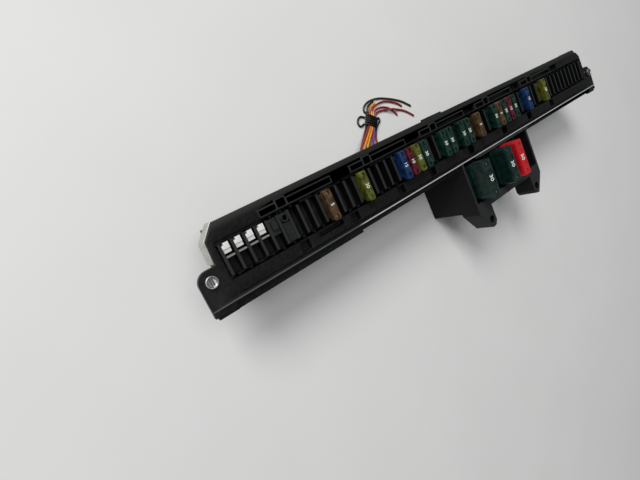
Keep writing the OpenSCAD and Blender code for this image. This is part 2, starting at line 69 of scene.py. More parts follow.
def at(x, y, z):
    """A point of the row, in the frame's metres."""
    return PLACE @ Vector((x, y, z))


# ---- Camera -------------------------------------------------------------------

EYE = Vector((-0.2498, 0.0521, 0.2399))
LOOK = Vector((0.460, -0.178, -0.870))
HEAD_UP = Vector((0.449, 0.892, 0.056))
SENSOR_MM = 36
LENS_MM = 21.375
NEAREST = 0.01


def make_camera():
    right = LOOK.cross(HEAD_UP).normalized()
    back = -LOOK.normalized()
    turn = Matrix((right, back.cross(right), back)).transposed()
    data = bpy.data.cameras.new("camera")
    data.lens = LENS_MM
    data.sensor_width = SENSOR_MM
    data.clip_start = NEAREST
    camera = bpy.data.objects.new("camera", data)
    camera.matrix_world = Matrix.Translation(EYE) @ turn.to_4x4()
    bpy.context.scene.collection.objects.link(camera)
    bpy.context.scene.camera = camera


make_camera()
bpy.context.scene.view_settings.view_transform = "Standard"

# ---- Nodes and colours --------------------------------------------------------

FACTOR, COLOUR_A, COLOUR_B, MIXED = 0, 6, 7, 2  # sockets of a colour mix


def linear(code):
    """The linear colour of an sRGB hex value such as '#9A7B55'."""
    parts = [int(code[i:i + 2], 16) / 255 for i in (1, 3, 5)]
    return (*[c / 12.92 if c <= 0.04045 else ((c + 0.055) / 1.055) ** 2.4 for c in parts], 1)


def add(tree, kind, inputs=(), **settings):
    """Adds a node: settings are its properties, inputs are values or the sockets that feed it."""
    node = tree.nodes.new(kind)
    for name, value in settings.items():
        setattr(node, name, value)
    for key, value in dict(inputs).items():
        if isinstance(value, bpy.types.NodeSocket):
            tree.links.new(value, node.inputs[key])
        else:
            node.inputs[key].default_value = value
    return node


def per_mm(size):
    """The scale of a pattern whose features are that many millimetres wide."""
    return 1 / (size * MM)


def new_material(name, **sockets):
    """An empty material with one Principled shader; sockets hold what is the same all over it."""
    material = bpy.data.materials.new(name)
    material.use_nodes = True
    shader = material.node_tree.nodes["Principled BSDF"]
    for key, value in sockets.items():
        shader.inputs[key.replace("_", " ")].default_value = value
    place = add(material.node_tree, "ShaderNodeTexCoord")
    return material, material.node_tree, shader, place


def feed(tree, shader, **outputs):
    """Links node outputs to the shader's sockets of those names."""
    for key, output in outputs.items():
        tree.links.new(output, shader.inputs[key.replace("_", " ")])


# ---- Kinds of material --------------------------------------------------------

# The lighter top grey and the bright bead colour are painted highlights; the dust grey is dust.
TOP_HIGHLIGHT_GREY = "#2B2D2E"
DUST_GREY = "#2E312B"
BEAD_HIGHLIGHT_BRIGHT = "#C4C6C4"
BEAD_Y = -31.3
BEAD_HALF = 0.34
BEAD_DULL_X, BEAD_BRIGHT_X = 40, 46
BORDER_LOW_Y, BORDER_HIGH_Y = 5.8, 7.2


# Black glass-filled nylon, injection moulded: near black and satin, with a fine spark-eroded grain,
# cloudy patches from handling and pale dust on whatever faces up. Faces above the given level, in
# the row's millimetres, are painted a lighter grey as a highlight on raised tops. With edges, the
# top border is dustier, and a painted bright highlight runs along the bead past the first few
# slots.
def black_nylon(name, dark="#09090A", light="#121213", dust=0.35, highlight_above=None, edges=False,
                roughness=0.42):
    material, tree, shader, place = new_material(name, IOR=1.53, Specular_IOR_Level=0.16)
    spot = place.outputs["Object"]
    cloud = add(tree, "ShaderNodeTexNoise", {"Vector": spot, "Scale": per_mm(14), "Detail": 4,
                                             "Roughness": 0.6})
    grain = add(tree, "ShaderNodeTexNoise", {"Vector": spot, "Scale": per_mm(0.9), "Detail": 3})
    specks = add(tree, "ShaderNodeTexNoise", {"Vector": spot, "Scale": per_mm(2.2), "Detail": 8,
                                              "Roughness": 0.7})
    across = add(tree, "ShaderNodeSeparateXYZ", {"Vector": spot})
    tone = add(tree, "ShaderNodeMix", {FACTOR: cloud.outputs["Fac"], COLOUR_A: linear(dark),
                                       COLOUR_B: linear(light)}, data_type="RGBA")
    # Painted highlight: faces above the given level fade to the lighter top grey, standing in for
    # the sheen on raised tops.
    if highlight_above is not None:
        worn = add(tree, "ShaderNodeMapRange", {"Value": across.outputs["Z"], "To Max": 0.85,
                                                "From Min": ROW.z + (highlight_above - 0.2) * MM,
                                                "From Max": ROW.z + highlight_above * MM})
        tone = add(tree, "ShaderNodeMix", {FACTOR: worn.outputs["Result"],
                                           COLOUR_A: tone.outputs[MIXED],
                                           COLOUR_B: linear(TOP_HIGHLIGHT_GREY)}, data_type="RGBA")
    up = add(tree, "ShaderNodeSeparateXYZ", {"Vector": place.outputs["Normal"]})
    facing = add(tree, "ShaderNodeMapRange", {"Value": up.outputs["Z"], "From Min": 0.3,
                                              "From Max": 1})
    speckled = add(tree, "ShaderNodeMapRange", {"Value": specks.outputs["Fac"], "From Min": 0.42,
                                                "From Max": 0.72, "To Max": dust})
    settled = add(tree, "ShaderNodeMath", {0: facing.outputs["Result"],
                                           1: speckled.outputs["Result"]}, operation="MULTIPLY")
    cover = settled.outputs["Value"]
    if edges:
        strip = add(tree, "ShaderNodeMapRange", {"Value": across.outputs["Y"], "To Max": 0.55,
                                                 "From Min": ROW.y + BORDER_LOW_Y * MM,
                                                 "From Max": ROW.y + BORDER_HIGH_Y * MM})
        upper = add(tree, "ShaderNodeMath", {0: strip.outputs["Result"],
                                             1: facing.outputs["Result"]}, operation="MULTIPLY")
        cover = add(tree, "ShaderNodeMath", {0: cover, 1: upper.outputs["Value"]},
                    operation="MAXIMUM").outputs["Value"]
    tone = add(tree, "ShaderNodeMix", {FACTOR: cover, COLOUR_A: tone.outputs[MIXED],
                                       COLOUR_B: linear(DUST_GREY)}, data_type="RGBA")
    # Painted highlight: a bright line along the bead, faint at first and strong past the first few
    # slots.
    if edges:
        line = add(tree, "ShaderNodeMath", {0: across.outputs["Y"], 1: ROW.y + BEAD_Y * MM,
                                            2: BEAD_HALF * MM}, operation="COMPARE")
        past = add(tree, "ShaderNodeMapRange", {"Value": across.outputs["X"], "To Min": 0.12,
                                                "From Min": ROW.x + BEAD_DULL_X * MM,
                                                "From Max": ROW.x + BEAD_BRIGHT_X * MM,
                                                "To Max": 0.9})
        bright = add(tree, "ShaderNodeMath", {0: line.outputs["Value"], 1: past.outputs["Result"]},
                     operation="MULTIPLY")
        tone = add(tree, "ShaderNodeMix", {FACTOR: bright.outputs["Value"],
                                           COLOUR_A: tone.outputs[MIXED],
                                           COLOUR_B: linear(BEAD_HIGHLIGHT_BRIGHT)}, data_type="RGBA")
    rough = add(tree, "ShaderNodeMapRange", {"Value": cloud.outputs["Fac"],
                                             "To Min": roughness - 0.08,
                                             "To Max": roughness + 0.14})
    bump = add(tree, "ShaderNodeBump", {"Height": grain.outputs["Fac"], "Strength": 0.25,
                                        "Distance": 0.1 * MM})
    feed(tree, shader, Base_Color=tone.outputs[MIXED], Roughness=rough.outputs["Result"],
         Normal=bump.outputs["Normal"])
    return material


# Tinted polycarbonate of a blade fuse, moulded: clear enough to show its strip as a shadow, glossy,
# a little milky, with fine rubbed scratches on top.
def polycarbonate(name, code, milky):
    material, tree, shader, place = new_material(name, IOR=1.585, Transmission_Weight=0.12,
                                                 Specular_IOR_Level=0.3)
    spot = place.outputs["Object"]
    flow = add(tree, "ShaderNodeTexNoise", {"Vector": spot, "Scale": per_mm(4), "Detail": 2})
    rubs = add(tree, "ShaderNodeTexNoise", {"Vector": spot, "Scale": per_mm(0.8), "Detail": 5,
                                            "Distortion": 0.6})
    clouded = add(tree, "ShaderNodeMapRange", {"Value": flow.outputs["Fac"], "From Min": 0.28,
                                               "From Max": 0.78})
    tint = add(tree, "ShaderNodeMix", {FACTOR: clouded.outputs["Result"], COLOUR_A: linear(code),
                                       COLOUR_B: linear(milky)}, data_type="RGBA")
    scuffed = add(tree, "ShaderNodeMapRange", {"Value": rubs.outputs["Fac"], "From Min": 0.35,
                                               "From Max": 0.75, "To Min": 0.26, "To Max": 0.5})
    bump = add(tree, "ShaderNodeBump", {"Height": rubs.outputs["Fac"], "Strength": 0.3,
                                        "Distance": 0.08 * MM})
    feed(tree, shader, Base_Color=tint.outputs[MIXED], Roughness=scuffed.outputs["Result"],
         Normal=bump.outputs["Normal"])
    return material


# Plain moulded plastic or rubber in a solid colour: satin, faintly blotched and grimy in patches.
def moulded(name, code, grime="#6E6A5E", roughness=0.45, dirt=0.3):
    material, tree, shader, place = new_material(name, IOR=1.5)
    spot = place.outputs["Object"]
    smear = add(tree, "ShaderNodeTexNoise", {"Vector": spot, "Scale": per_mm(3.5), "Detail": 6,
                                             "Roughness": 0.65})
    grain = add(tree, "ShaderNodeTexNoise", {"Vector": spot, "Scale": per_mm(0.7), "Detail": 2})
    dirty = add(tree, "ShaderNodeMapRange", {"Value": smear.outputs["Fac"], "From Min": 0.48,
                                             "From Max": 0.78, "To Max": dirt})
    tone = add(tree, "ShaderNodeMix", {FACTOR: dirty.outputs["Result"], COLOUR_A: linear(code),
                                       COLOUR_B: linear(grime)}, data_type="RGBA")
    rough = add(tree, "ShaderNodeMapRange", {"Value": smear.outputs["Fac"],
                                             "To Min": roughness - 0.1, "To Max": roughness + 0.15})
    bump = add(tree, "ShaderNodeBump", {"Height": grain.outputs["Fac"], "Strength": 0.15,
                                        "Distance": 0.06 * MM})
    feed(tree, shader, Base_Color=tone.outputs[MIXED], Roughness=rough.outputs["Result"],
         Normal=bump.outputs["Normal"])
    return material


# Plated or bare sheet metal: rolled, so faint lines run one way, with dull tarnished patches.
def rolled_metal(name, code, tarnish, roughness, along=(1, 12, 12)):
    material, tree, shader, place = new_material(name, Metallic=1.0)
    spot = place.outputs["Object"]
    lines = add(tree, "ShaderNodeMapping", {"Vector": spot, "Scale": along})
    brushed = add(tree, "ShaderNodeTexNoise", {"Vector": lines.outputs["Vector"],
                                               "Scale": per_mm(4), "Detail": 3})
    patch = add(tree, "ShaderNodeTexNoise", {"Vector": spot, "Scale": per_mm(5), "Detail": 5})
    dull = add(tree, "ShaderNodeMapRange", {"Value": patch.outputs["Fac"], "From Min": 0.45,
                                            "From Max": 0.75, "To Max": 0.6})
    tone = add(tree, "ShaderNodeMix", {FACTOR: dull.outputs["Result"], COLOUR_A: linear(code),
                                       COLOUR_B: linear(tarnish)}, data_type="RGBA")
    rough = add(tree, "ShaderNodeMapRange", {"Value": brushed.outputs["Fac"],
                                             "To Min": roughness - 0.1, "To Max": roughness + 0.15})
    bump = add(tree, "ShaderNodeBump", {"Height": brushed.outputs["Fac"], "Strength": 0.2,
                                        "Distance": 0.04 * MM})
    feed(tree, shader, Base_Color=tone.outputs[MIXED], Roughness=rough.outputs["Result"],
         Normal=bump.outputs["Normal"])
    return material


# Extruded PVC insulation: smooth and soft-glossy, a little greasy and darker where it was handled.
def pvc(name, code, worn):
    material, tree, shader, place = new_material(name, IOR=1.53)
    grease = add(tree, "ShaderNodeTexNoise", {"Vector": place.outputs["Object"],
                                              "Scale": per_mm(6), "Detail": 5, "Roughness": 0.6})
    soil = add(tree, "ShaderNodeMapRange", {"Value": grease.outputs["Fac"], "From Min": 0.42,
                                            "From Max": 0.72, "To Max": 0.75})
    tone = add(tree, "ShaderNodeMix", {FACTOR: soil.outputs["Result"], COLOUR_A: linear(code),
                                       COLOUR_B: linear(worn)}, data_type="RGBA")
    rough = add(tree, "ShaderNodeMapRange", {"Value": grease.outputs["Fac"], "To Min": 0.28,
                                             "To Max": 0.5})
    feed(tree, shader, Base_Color=tone.outputs[MIXED], Roughness=rough.outputs["Result"])
    return material


# Laminate table top: matt, pale grey, faintly mottled.
def laminate():
    material, tree, shader, place = new_material("table_laminate", IOR=1.45, Roughness=0.62)
    mottle = add(tree, "ShaderNodeTexNoise", {"Vector": place.outputs["Object"],
                                              "Scale": per_mm(90), "Detail": 6})
    tone = add(tree, "ShaderNodeMix", {FACTOR: mottle.outputs["Fac"], COLOUR_A: linear("#DEDEDC"),
                                       COLOUR_B: linear("#E6E6E4")}, data_type="RGBA")
    feed(tree, shader, Base_Color=tone.outputs[MIXED])
    return material


# ---- The panel's own materials ------------------------------------------------

# Painted highlight on raised tops: the carrier's rims, the comb's rib tops and the pocket's rim are
# lighter above the given level; the carrier also gets the painted bead highlight.
CARRIER = black_nylon("carrier_nylon", highlight_above=0.5, edges=True)
COMB = black_nylon("comb_nylon", "#040404", "#0A0A0B", dust=0.08, highlight_above=-0.1, roughness=0.5)
SOCKET = black_nylon("socket_nylon", "#030303", "#080808", dust=0.15, roughness=0.6)
HOUSING = black_nylon("housing_nylon", "#0D0D0E", "#161617", dust=0.2, roughness=0.5)
COVER = black_nylon("cover_nylon", "#0D0D0E", "#151516", dust=0.1, roughness=0.5)
POCKET = black_nylon("pocket_nylon", "#0A0A0B", "#131314", dust=0.25, highlight_above=-0.1, roughness=0.5)
CLIP = black_nylon("clip_nylon", "#1B1C1D", "#28292A", dust=0.3)
LOCATOR = black_nylon("locator_nylon", "#17181A", "#242526")
RETAINER = black_nylon("retainer_nylon", "#141415", "#1E1F20", dust=0.15)
WHITE_NYLON = moulded("white_nylon", "#DEDEDA", grime="#B0AEA4", roughness=0.4)
GREY_NYLON = moulded("grey_nylon", "#7E7F7C", grime="#6C6A62", roughness=0.42)
PRINT = moulded("number_paint", "#F2F4EC", grime="#C2C5B6", roughness=0.5)
RUBBER = moulded("grommet_rubber", "#161616", grime="#3A3832", roughness=0.65)
LOOM = moulded("loom_tape", "#151515", grime="#2E2C28", roughness=0.6)
ZINC = rolled_metal("zinc_plated_strip", "#C6CABE", "#9CA094", 0.46, along=(2, 2, 14))
STUD_STEEL = rolled_metal("plated_stud_steel", "#C4C5C2", "#8C8C88", 0.3)
SCREW_STEEL = rolled_metal("zinc_screw_steel", "#B9BAB6", "#8A8A84", 0.32)
BRASS = rolled_metal("tinned_brass", "#C2AE78", "#8E8058", 0.35)
COPPER = rolled_metal("bar_copper", "#C58A62", "#8A5B41", 0.36)
ZINC_ALLOY = rolled_metal("fuse_zinc", "#C9CAC8", "#94958F", 0.3)
STRANDS = rolled_metal("copper_strands", "#8A5A3C", "#3E2A22", 0.4, along=(20, 20, 20))
CORD = pvc("pvc_black_cord", "#0B0B0C", "#1C1C1B")
WIRE_PVC = {
    "red": pvc("pvc_red", "#96262C", "#5A1A1E"),
    "orange": pvc("pvc_orange", "#E89A28", "#9A5A1A"),
    "violet": pvc("pvc_violet", "#6C4A8E", "#40304E"),
    "black": pvc("pvc_black", "#0E0E0F", "#1E1D1A"),
    "olive": pvc("pvc_olive", "#33341F", "#1C1C14"),
}
# Amp rating: the slot that the record names, and the tinted plastic
FUSE_TINTS = {
    "5": ("fuse_tan", polycarbonate("polycarbonate_5a", "#2E2013", "#6A5032")),
    "10": ("fuse_red", polycarbonate("polycarbonate_10a", "#340A11", "#6A222C")),
    "15": ("fuse_blue", polycarbonate("polycarbonate_15a", "#0A1B36", "#20467A")),
    "20": ("fuse_yellow", polycarbonate("polycarbonate_20a", "#35380C", "#72762A")),
    "30": ("fuse_green", polycarbonate("polycarbonate_30a", "#061814", "#1C4439")),
}
MAXI_TINTS = {
    "30": ("maxi_green", polycarbonate("maxi_polycarbonate_green", "#051411", "#183832")),
    "50": ("maxi_red", polycarbonate("maxi_polycarbonate_red", "#B40E18", "#D0242C")),
}

# ---- Placing pieces -----------------------------------------------------------


def show(name, data, body, slot, *nodes):
    """Puts finished data in the scene as a piece that rides on a body and stands for some nodes."""
    piece = bpy.data.objects.new(name, data)
    bpy.context.scene.collection.objects.link(piece)
    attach(piece, body)
    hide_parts(*nodes)
    return piece


def piece_of(name, bm, material, body, slot, *nodes, place=PLACE, smooth=20):
    """A piece from a bmesh in millimetres; edges that turn more than smooth degrees stay crisp."""
    bmesh.ops.transform(bm, matrix=place, verts=bm.verts)
    bmesh.ops.recalc_face_normals(bm, faces=bm.faces)
    mesh = bpy.data.meshes.new(name)
    bm.to_mesh(mesh)
    bm.free()
    mesh.materials.append(material)
    mesh.shade_smooth()
    mesh.set_sharp_from_angle(angle=math.radians(smooth))
    return show(name, mesh, body, slot, *nodes)


# ---- Shaping ------------------------------------------------------------------

BISECT_FIT = 1e-4
WELD = 0.001
SAME_WAY = 0.9
STRAIGHT_UP = 0.99
BLOCK_EDGE = math.radians(50)
MOULDED_EDGE = math.radians(30)
FLAT = math.radians(1)


def bevel(bm, edges, offset, segments=2):
    return bmesh.ops.bevel(bm, geom=list(edges), offset=offset, affect="EDGES", segments=segments,
                           profile=0.5, material=-1, clamp_overlap=False)


def verts_in(geom):
    return [g for g in geom if isinstance(g, bmesh.types.BMVert)]


def edges_of(verts):
    return {e for v in verts for e in v.link_edges}


def upright(edges):
    """The edges that run along Z."""
    return [e for e in edges
            if abs((e.verts[0].co - e.verts[1].co).normalized().z) > STRAIGHT_UP]


def rounded_block(bm, low, high, edge, corner=0.0):
    """A box with its upright corners rounded to one radius and every edge eased by another."""
    low, high = Vector(low), Vector(high)
    verts = bmesh.ops.create_cube(bm, size=1)["verts"]
    bmesh.ops.scale(bm, vec=high - low, verts=verts)
    bmesh.ops.translate(bm, vec=(high + low) / 2, verts=verts)
    if corner:
        made = bevel(bm, upright(edges_of(verts)), corner, 3)
        verts = [v for v in {*made["verts"], *verts} if v.is_valid]
    sharp = [e for e in edges_of(verts) if e.calc_face_angle(0) > BLOCK_EDGE]
    bevel(bm, sharp, edge)


def sink(bm, axis, side, low, high, depth):
    """Sinks what lies inside a box of a flat side, which faces along axis times side, by depth."""
    for i in range(3):
        for place in (low[i], high[i]) if i != axis else ():
            normal, point = Vector((0, 0, 0)), Vector((0, 0, 0))
            normal[i], point[i] = 1, place
            everything = [*bm.verts, *bm.edges, *bm.faces]
            bmesh.ops.bisect_plane(bm, geom=everything, dist=BISECT_FIT, plane_co=point,
                                   plane_no=normal)
    bm.normal_update()
    inside = [f for f in bm.faces if f.normal[axis] * side > SAME_WAY
              and all(low[i] < f.calc_center_median()[i] < high[i] for i in range(3))]
    verts = verts_in(bmesh.ops.extrude_face_region(bm, geom=inside)["geom"])
    bmesh.ops.delete(bm, geom=[f for f in inside if f.is_valid], context="FACES_ONLY")
    move = Vector((0, 0, 0))
    move[axis] = -side * depth
    bmesh.ops.translate(bm, vec=move, verts=verts)
    return verts


def softened(node, name, material, body, slot, edge):
    """A copy of a CAD node with every outside edge eased, as a moulding's are."""
    bm = bmesh.new()
    bm.from_mesh(NODES[node].data)
    bmesh.ops.transform(bm, matrix=PLACE.inverted(), verts=bm.verts)
    bmesh.ops.remove_doubles(bm, verts=bm.verts, dist=WELD)
    bmesh.ops.dissolve_limit(bm, angle_limit=FLAT, verts=bm.verts, edges=bm.edges)
    sharp = [e for e in bm.edges if e.is_manifold and e.calc_face_angle() > MOULDED_EDGE]
    bevel(bm, sharp, edge)
    return piece_of(name, bm, material, body, slot, node)


# ---- Wires --------------------------------------------------------------------
# A wire leaves the grommet, runs down to the tie and through it, and then lies on the table.

WIRE_D = 1.6
FLOOR_Z = BACK_Z + WIRE_D / 2
LOWER, UPPER = -44.7, -42.9
ROW_1, ROW_2 = -37.2, -39.2
SHELL_TOP_Y = 7.4
SHELL_WALL = 2.2
TIE_AT = Vector((121.2, 26.6))
TIE_DIR = Vector((0.56, 0.83))
TIE_ACROSS = Vector((TIE_DIR.y, -TIE_DIR.x))
TIE_HALF = (6, 5.4)
TIE_TOP = -41.2
TIE_CLEAR = 0.3
STRAIGHT_OUT = 1
BEND_OUT, BEND_ASIDE = 2.8, 0.4
STUB = 1.4
BARE_TIP = 0.8
STRAND_D = 0.34


def tie_point(end, s, z):
    """Where a wire enters (end -1) and leaves (end 1) the tie; s counts across the bundle."""
    return (*(TIE_AT + end * (TIE_HALF[1] + TIE_CLEAR) * TIE_DIR + s * TIE_ACROSS), z)


def route(x, z0, s, z, tail):
    """Straight out of the grommet, down to the tie, through it and away along the tail's points.

    A tail point with no height lies flat on the table."""
    return [(x, SHELL_TOP_Y - SHELL_WALL, z0), (x, SHELL_TOP_Y + STRAIGHT_OUT, z0),
            (x + BEND_ASIDE, SHELL_TOP_Y + BEND_OUT, z0 - BEND_ASIDE),
            tie_point(-1, s, z), tie_point(0, s, z), tie_point(1, s, z),
            *[(*p, FLOOR_Z)[:3] for p in tail]]


def stub(s, z):
    """The tail of a wire that is cut off just past the tie."""
    return [tie_point(STUB, s, z)]


# Each wire: its colour, its length in metres and its route
WIRES = {
    "wire_red": ("red", 0.045, route(95.4, ROW_1, -2.85, UPPER, stub(-2.85, UPPER))),
    "wire_orange": ("orange", 0.053, route(99, ROW_1, -0.95, UPPER, [
        (124.6, 34.2, -43.8), (126.6, 36.4), (129.4, 37.8), (132.6, 38.6)])),
    "wire_orange_2": ("orange", 0.04, route(102.6, ROW_1, 0.95, UPPER, stub(0.95, UPPER))),
    "wire_violet": ("violet", 0.036, route(108.2, ROW_1, 2.85, UPPER, stub(2.85, UPPER))),
    "wire_olive": ("olive", 0.101, route(96.8, ROW_2, -3.8, LOWER, [
        (119.6, 35.6), (120.2, 38), (122.8, 40.2), (127, 41.6), (132.8, 41.9), (140.2, 40.8),
        (148, 38.2), (155.2, 35.2), (162, 31.6), (169.4, 25.8)])),
    "wire_black": ("black", 0.051, route(101.2, ROW_2, -1.9, LOWER, [
        (122.8, 35.2), (124.6, 37.8), (127.6, 39.4), (131.6, 40.3)])),
    "wire_red_2": ("red", 0.074, route(105.4, ROW_2, 0, LOWER, [
        (126.8, 34), (130, 36), (134, 37.2), (139, 37.6), (144.4, 37), (150.4, 34.8),
        (155.8, 31.8), (159.4, 28.6)])),
    "wire_red_3": ("red", 0.062, route(110, ROW_2, 1.9, LOWER, [
        (128.4, 32), (131.6, 33.6), (136.4, 34), (141.4, 32.8), (145.8, 30.4), (148.8, 27.2),
        (151, 23.4)])),
    "wire_red_4": ("red", 0.075, route(114.4, ROW_2, 3.8, LOWER, [
        (130.2, 30.6), (133.4, 31.4), (137.4, 31.2), (141.8, 30.2, -44.6), (146.4, 29, -43),
        (151.2, 27.8, -44.4), (156, 26.2), (160.8, 23.8), (165, 20.6), (168.6, 17.4)])),
}
TIE_LOOP = [(117.6, 31.4), (114, 33.2), (110.6, 31.8), (109.2, 28.8), (110.6, 26.2), (114.6, 27)]
TIE_TAIL = [(127.4, 25.8), (130.6, 27), (130.8, 24.4), (127.4, 22.2), (124, 19.2), (121.6, 15.6),
            (120, 11.6)]


def round_curve(name, points, material):
    """A round cord along points: one spline whose handles follow its neighbours, never too low."""
    data = bpy.data.curves.new(name, "CURVE")
    data.dimensions = "3D"
    data.bevel_depth = WIRE_D / 2 * MM
    data.bevel_resolution = 4
    data.resolution_u = 8
    data.use_fill_caps = True
    line = data.splines.new("BEZIER")
    line.bezier_points.add(len(points) - 1)
    last = len(points) - 1
    for i, knot in enumerate(line.bezier_points):
        before, here, after = (Vector(points[j]) for j in (max(i - 1, 0), i, min(i + 1, last)))
        reach = (after - before) / 6
        for side, step in (("handle_left", -reach), ("handle_right", reach)):
            handle = here + step
            setattr(knot, side + "_type", "FREE")
            setattr(knot, side, at(handle.x, handle.y, max(handle.z, FLOOR_Z)))
        knot.co = at(*here)
    data.materials.append(material)
    return data


def bare_tip(name, points):
    """The cut end of a wire: a short bundle of strands standing out of the insulation."""
    end, before = Vector(points[-1]), Vector(points[-2])
    bm = bmesh.new()
    turns = [a * math.pi / 3 for a in range(6)]
    ring = [(STRAND_D * math.cos(turn), STRAND_D * math.sin(turn)) for turn in turns]
    for x, y in [(0, 0)] + ring:
        made = bmesh.ops.create_cone(bm, cap_ends=True, segments=8, radius1=STRAND_D / 2,
                                     radius2=STRAND_D / 2, depth=BARE_TIP * 2)["verts"]
        bmesh.ops.translate(bm, vec=(x, y, 0), verts=made)
    turn = (end - before).to_track_quat("Z", "Y").to_matrix().to_4x4()
    return piece_of(name, bm, STRANDS, "panel", "fuse_metal",
                    place=PLACE @ Matrix.Translation(end) @ turn, smooth=60)


def wound_turns():
    """The way of a cord wound tightly round the flat bundle, a little unevenly."""
    turns = 5
    steps = 14
    uneven, uneven_pace = 0.35, 0.43
    half_x = TIE_HALF[0] - WIRE_D / 2
    half_z = (TIE_TOP - BACK_Z - WIRE_D) / 2
    middle = BACK_Z + WIRE_D / 2 + half_z
    reach = TIE_HALF[1] - WIRE_D / 2
    points = []
    for i in range(turns * steps + 1):
        angle = 2 * math.pi * i / steps
        along = reach * (2 * i / (turns * steps) - 1) + uneven * math.sin(uneven_pace * i)
        spot = TIE_AT + along * TIE_DIR + half_x * math.cos(angle) * TIE_ACROSS
        points.append((*spot, middle + half_z * math.sin(angle)))
    return points


def lay_wires():
    ways = {"tie_loop": [(*p, FLOOR_Z) for p in TIE_LOOP],
            "tie_tail": [(*p, FLOOR_Z) for p in TIE_TAIL],
            "wire_tie": wound_turns()}
    knot = [show(node + "_cord", round_curve(node + "_cord", points, CORD), "panel", "tape_black",
                 node) for node, points in ways.items()]
    for node, (colour, length, points) in WIRES.items():
        lead = show(node + "_lead", round_curve(node + "_lead", points, WIRE_PVC[colour]), "panel",
                    "wire_" + colour, node)
        on_it = [bare_tip(node + "_tip", points)]
        if node == "wire_olive":
            on_it += knot


lay_wires()

# ---- Mouldings and metal of the panel -----------------------------------------
# Node, piece, material, the record's slot, and how far its edges are eased

for node, name, material, slot, edge in (
        ("carrier_frame", "carrier", CARRIER, "carrier_plastic", 0.3),
        ("divider_comb", "comb", COMB, "comb_plastic", 0.2),
        ("socket_block", "socket", SOCKET, "socket_plastic", 0.12),
        ("rear_housing", "housing_shell", HOUSING, "housing_plastic", 0.5),
        ("rear_cover", "housing_cover", COVER, "cover_plastic", 0.4),
        ("cover_screws", "housing_screws", SCREW_STEEL, "zinc_steel", 0.15),
        ("maxi_pocket", "pocket", POCKET, "pocket_plastic", 0.4),
        ("maxi_socket", "pocket_socket", SOCKET, "socket_plastic", 0.2),
        ("lock_blocks", "white_locks", WHITE_NYLON, "white_lock", 0.12),
        ("lock_strips", "grey_locks", GREY_NYLON, "grey_lock", 0.12),
        ("clip_block", "clip", CLIP, "clip_plastic", 0.3),
        ("locator_block", "locator", LOCATOR, "locator_plastic", 0.25),
        ("wire_grommet", "grommet", RUBBER, "grommet_rubber", 0.3),
        ("end_bracket_left", "end_strip_left", ZINC, "zinc_bracket", 0.15),
        ("end_bracket_right", "end_strip_right", ZINC, "zinc_bracket", 0.15),
        ("stud_retainers", "retainers", RETAINER, "retainer_plastic", 0.2)):
    softened(node, name, material, "panel", slot, edge)
for side in ("left", "right"):
    softened(f"stud_{side}", f"quarter_turn_{side}", STUD_STEEL, f"stud_{side}", "stud_steel", 0.3)

# Nodes inside the shell keep their own mesh
for node, material in {"blade_terminals": BRASS, "maxi_terminals": BRASS, "supply_bar": COPPER,
                       "maxi_supply_bar": COPPER, "inner_loom": LOOM}.items():
    NODES[node].data.materials.clear()
    NODES[node].data.materials.append(material)

# ---- Fuses --------------------------------------------------------------------
# Sizes are from the middle of the slot and the deck face. The head and stem are blocks between two
# corners. A well is half as wide and half as long as it says, round it if it has a corner.

BLADE = {
    "head": ((-2.55, -9.55, 2.3), (2.55, 9.55, 6.5)),
    "stem": ((-1.95, -7.9, -5.5), (1.95, 7.9, 2.6)),
    "edge": 0.3, "corner": 1.1,
    "recess": ((-1.75, -4.1, 6), (1.75, 4.1, 7)), "recess_depth": 0.3,
    "well": (0.95, 1.25), "well_y": 7.3, "well_z": (6, 7), "well_depth": 1.3, "well_corner": 0,
    "side_x": 1.9, "side_y": 5, "side_z": (-4.4, 1.4), "side_depth": 0.35,
    "strip_thick": 0.65,
    "strip": [(2.1, -5), (2.1, -11.2), (2.9, -12), (6.5, -12), (7.3, -11.2), (7.3, 1.5), (8.2, 2.4),
              (8.2, 5.5), (6.4, 5.5), (6.4, 3.6), (2.1, 3.6)],
    "link": (0.4, 2.3, 0.2, 2.2), "number_size": 3.5, "number_z": 6.32,
}
MAXI = {
    "head": ((-4.45, -14.6, 0), (4.45, 14.6, 13.5)),
    "stem": ((-3.6, -13.4, -10.5), (3.6, 13.4, 0.4)),
    "edge": 0.4, "corner": 1.5,
    "recess": ((-2.6, -6.6, 13), (2.6, 6.6, 14)), "recess_depth": 0.35,
    "well": (1.3, 1.3), "well_y": 11.2, "well_z": (13, 14), "well_depth": 2.4, "well_corner": 1.2,
    "side_x": 4.4, "side_y": 10.5, "side_z": (1.6, 11), "side_depth": 0.5,
    "strip_thick": 0.8,
    "strip": [(2.9, -8), (2.9, -19.6), (4.1, -20.8), (9.7, -20.8), (10.9, -19.6), (10.9, 1),
              (12.3, 2.4), (12.3, 11), (10.1, 11), (10.1, 9), (2.9, 9)],
    "link": (0.5, 3.2, 1, 5), "number_size": 5.4, "number_z": 13.3,
}
SIDE_REACH = 0.5
NUMBER_THICK = 0.08
LINK_HALF = 0.6
TEST_POINT_R, TEST_POINT_HIGH, TEST_POINT_TOP, TEST_POINT_EDGE = 1.15, 2.2, 13, 0.35


def number(name, text, size, top, place, body, slot):
    """Generic amp rating printed on a fuse, read along the fuse."""
    data = bpy.data.curves.new(name, "FONT")
    data.body = text
    data.size = size
    data.extrude = NUMBER_THICK
    data.align_x = data.align_y = "CENTER"
    letters = bpy.data.objects.new(name, data)
    mesh = bpy.data.meshes.new_from_object(letters)
    bpy.data.objects.remove(letters)
    along_fuse = Matrix.Rotation(-math.pi / 2, 4, "Z")
    mesh.transform(place @ Matrix.Translation((0, 0, top)) @ along_fuse)
    mesh.materials.clear()
    mesh.materials.append(PRINT)
    return show(name, mesh, body, slot)


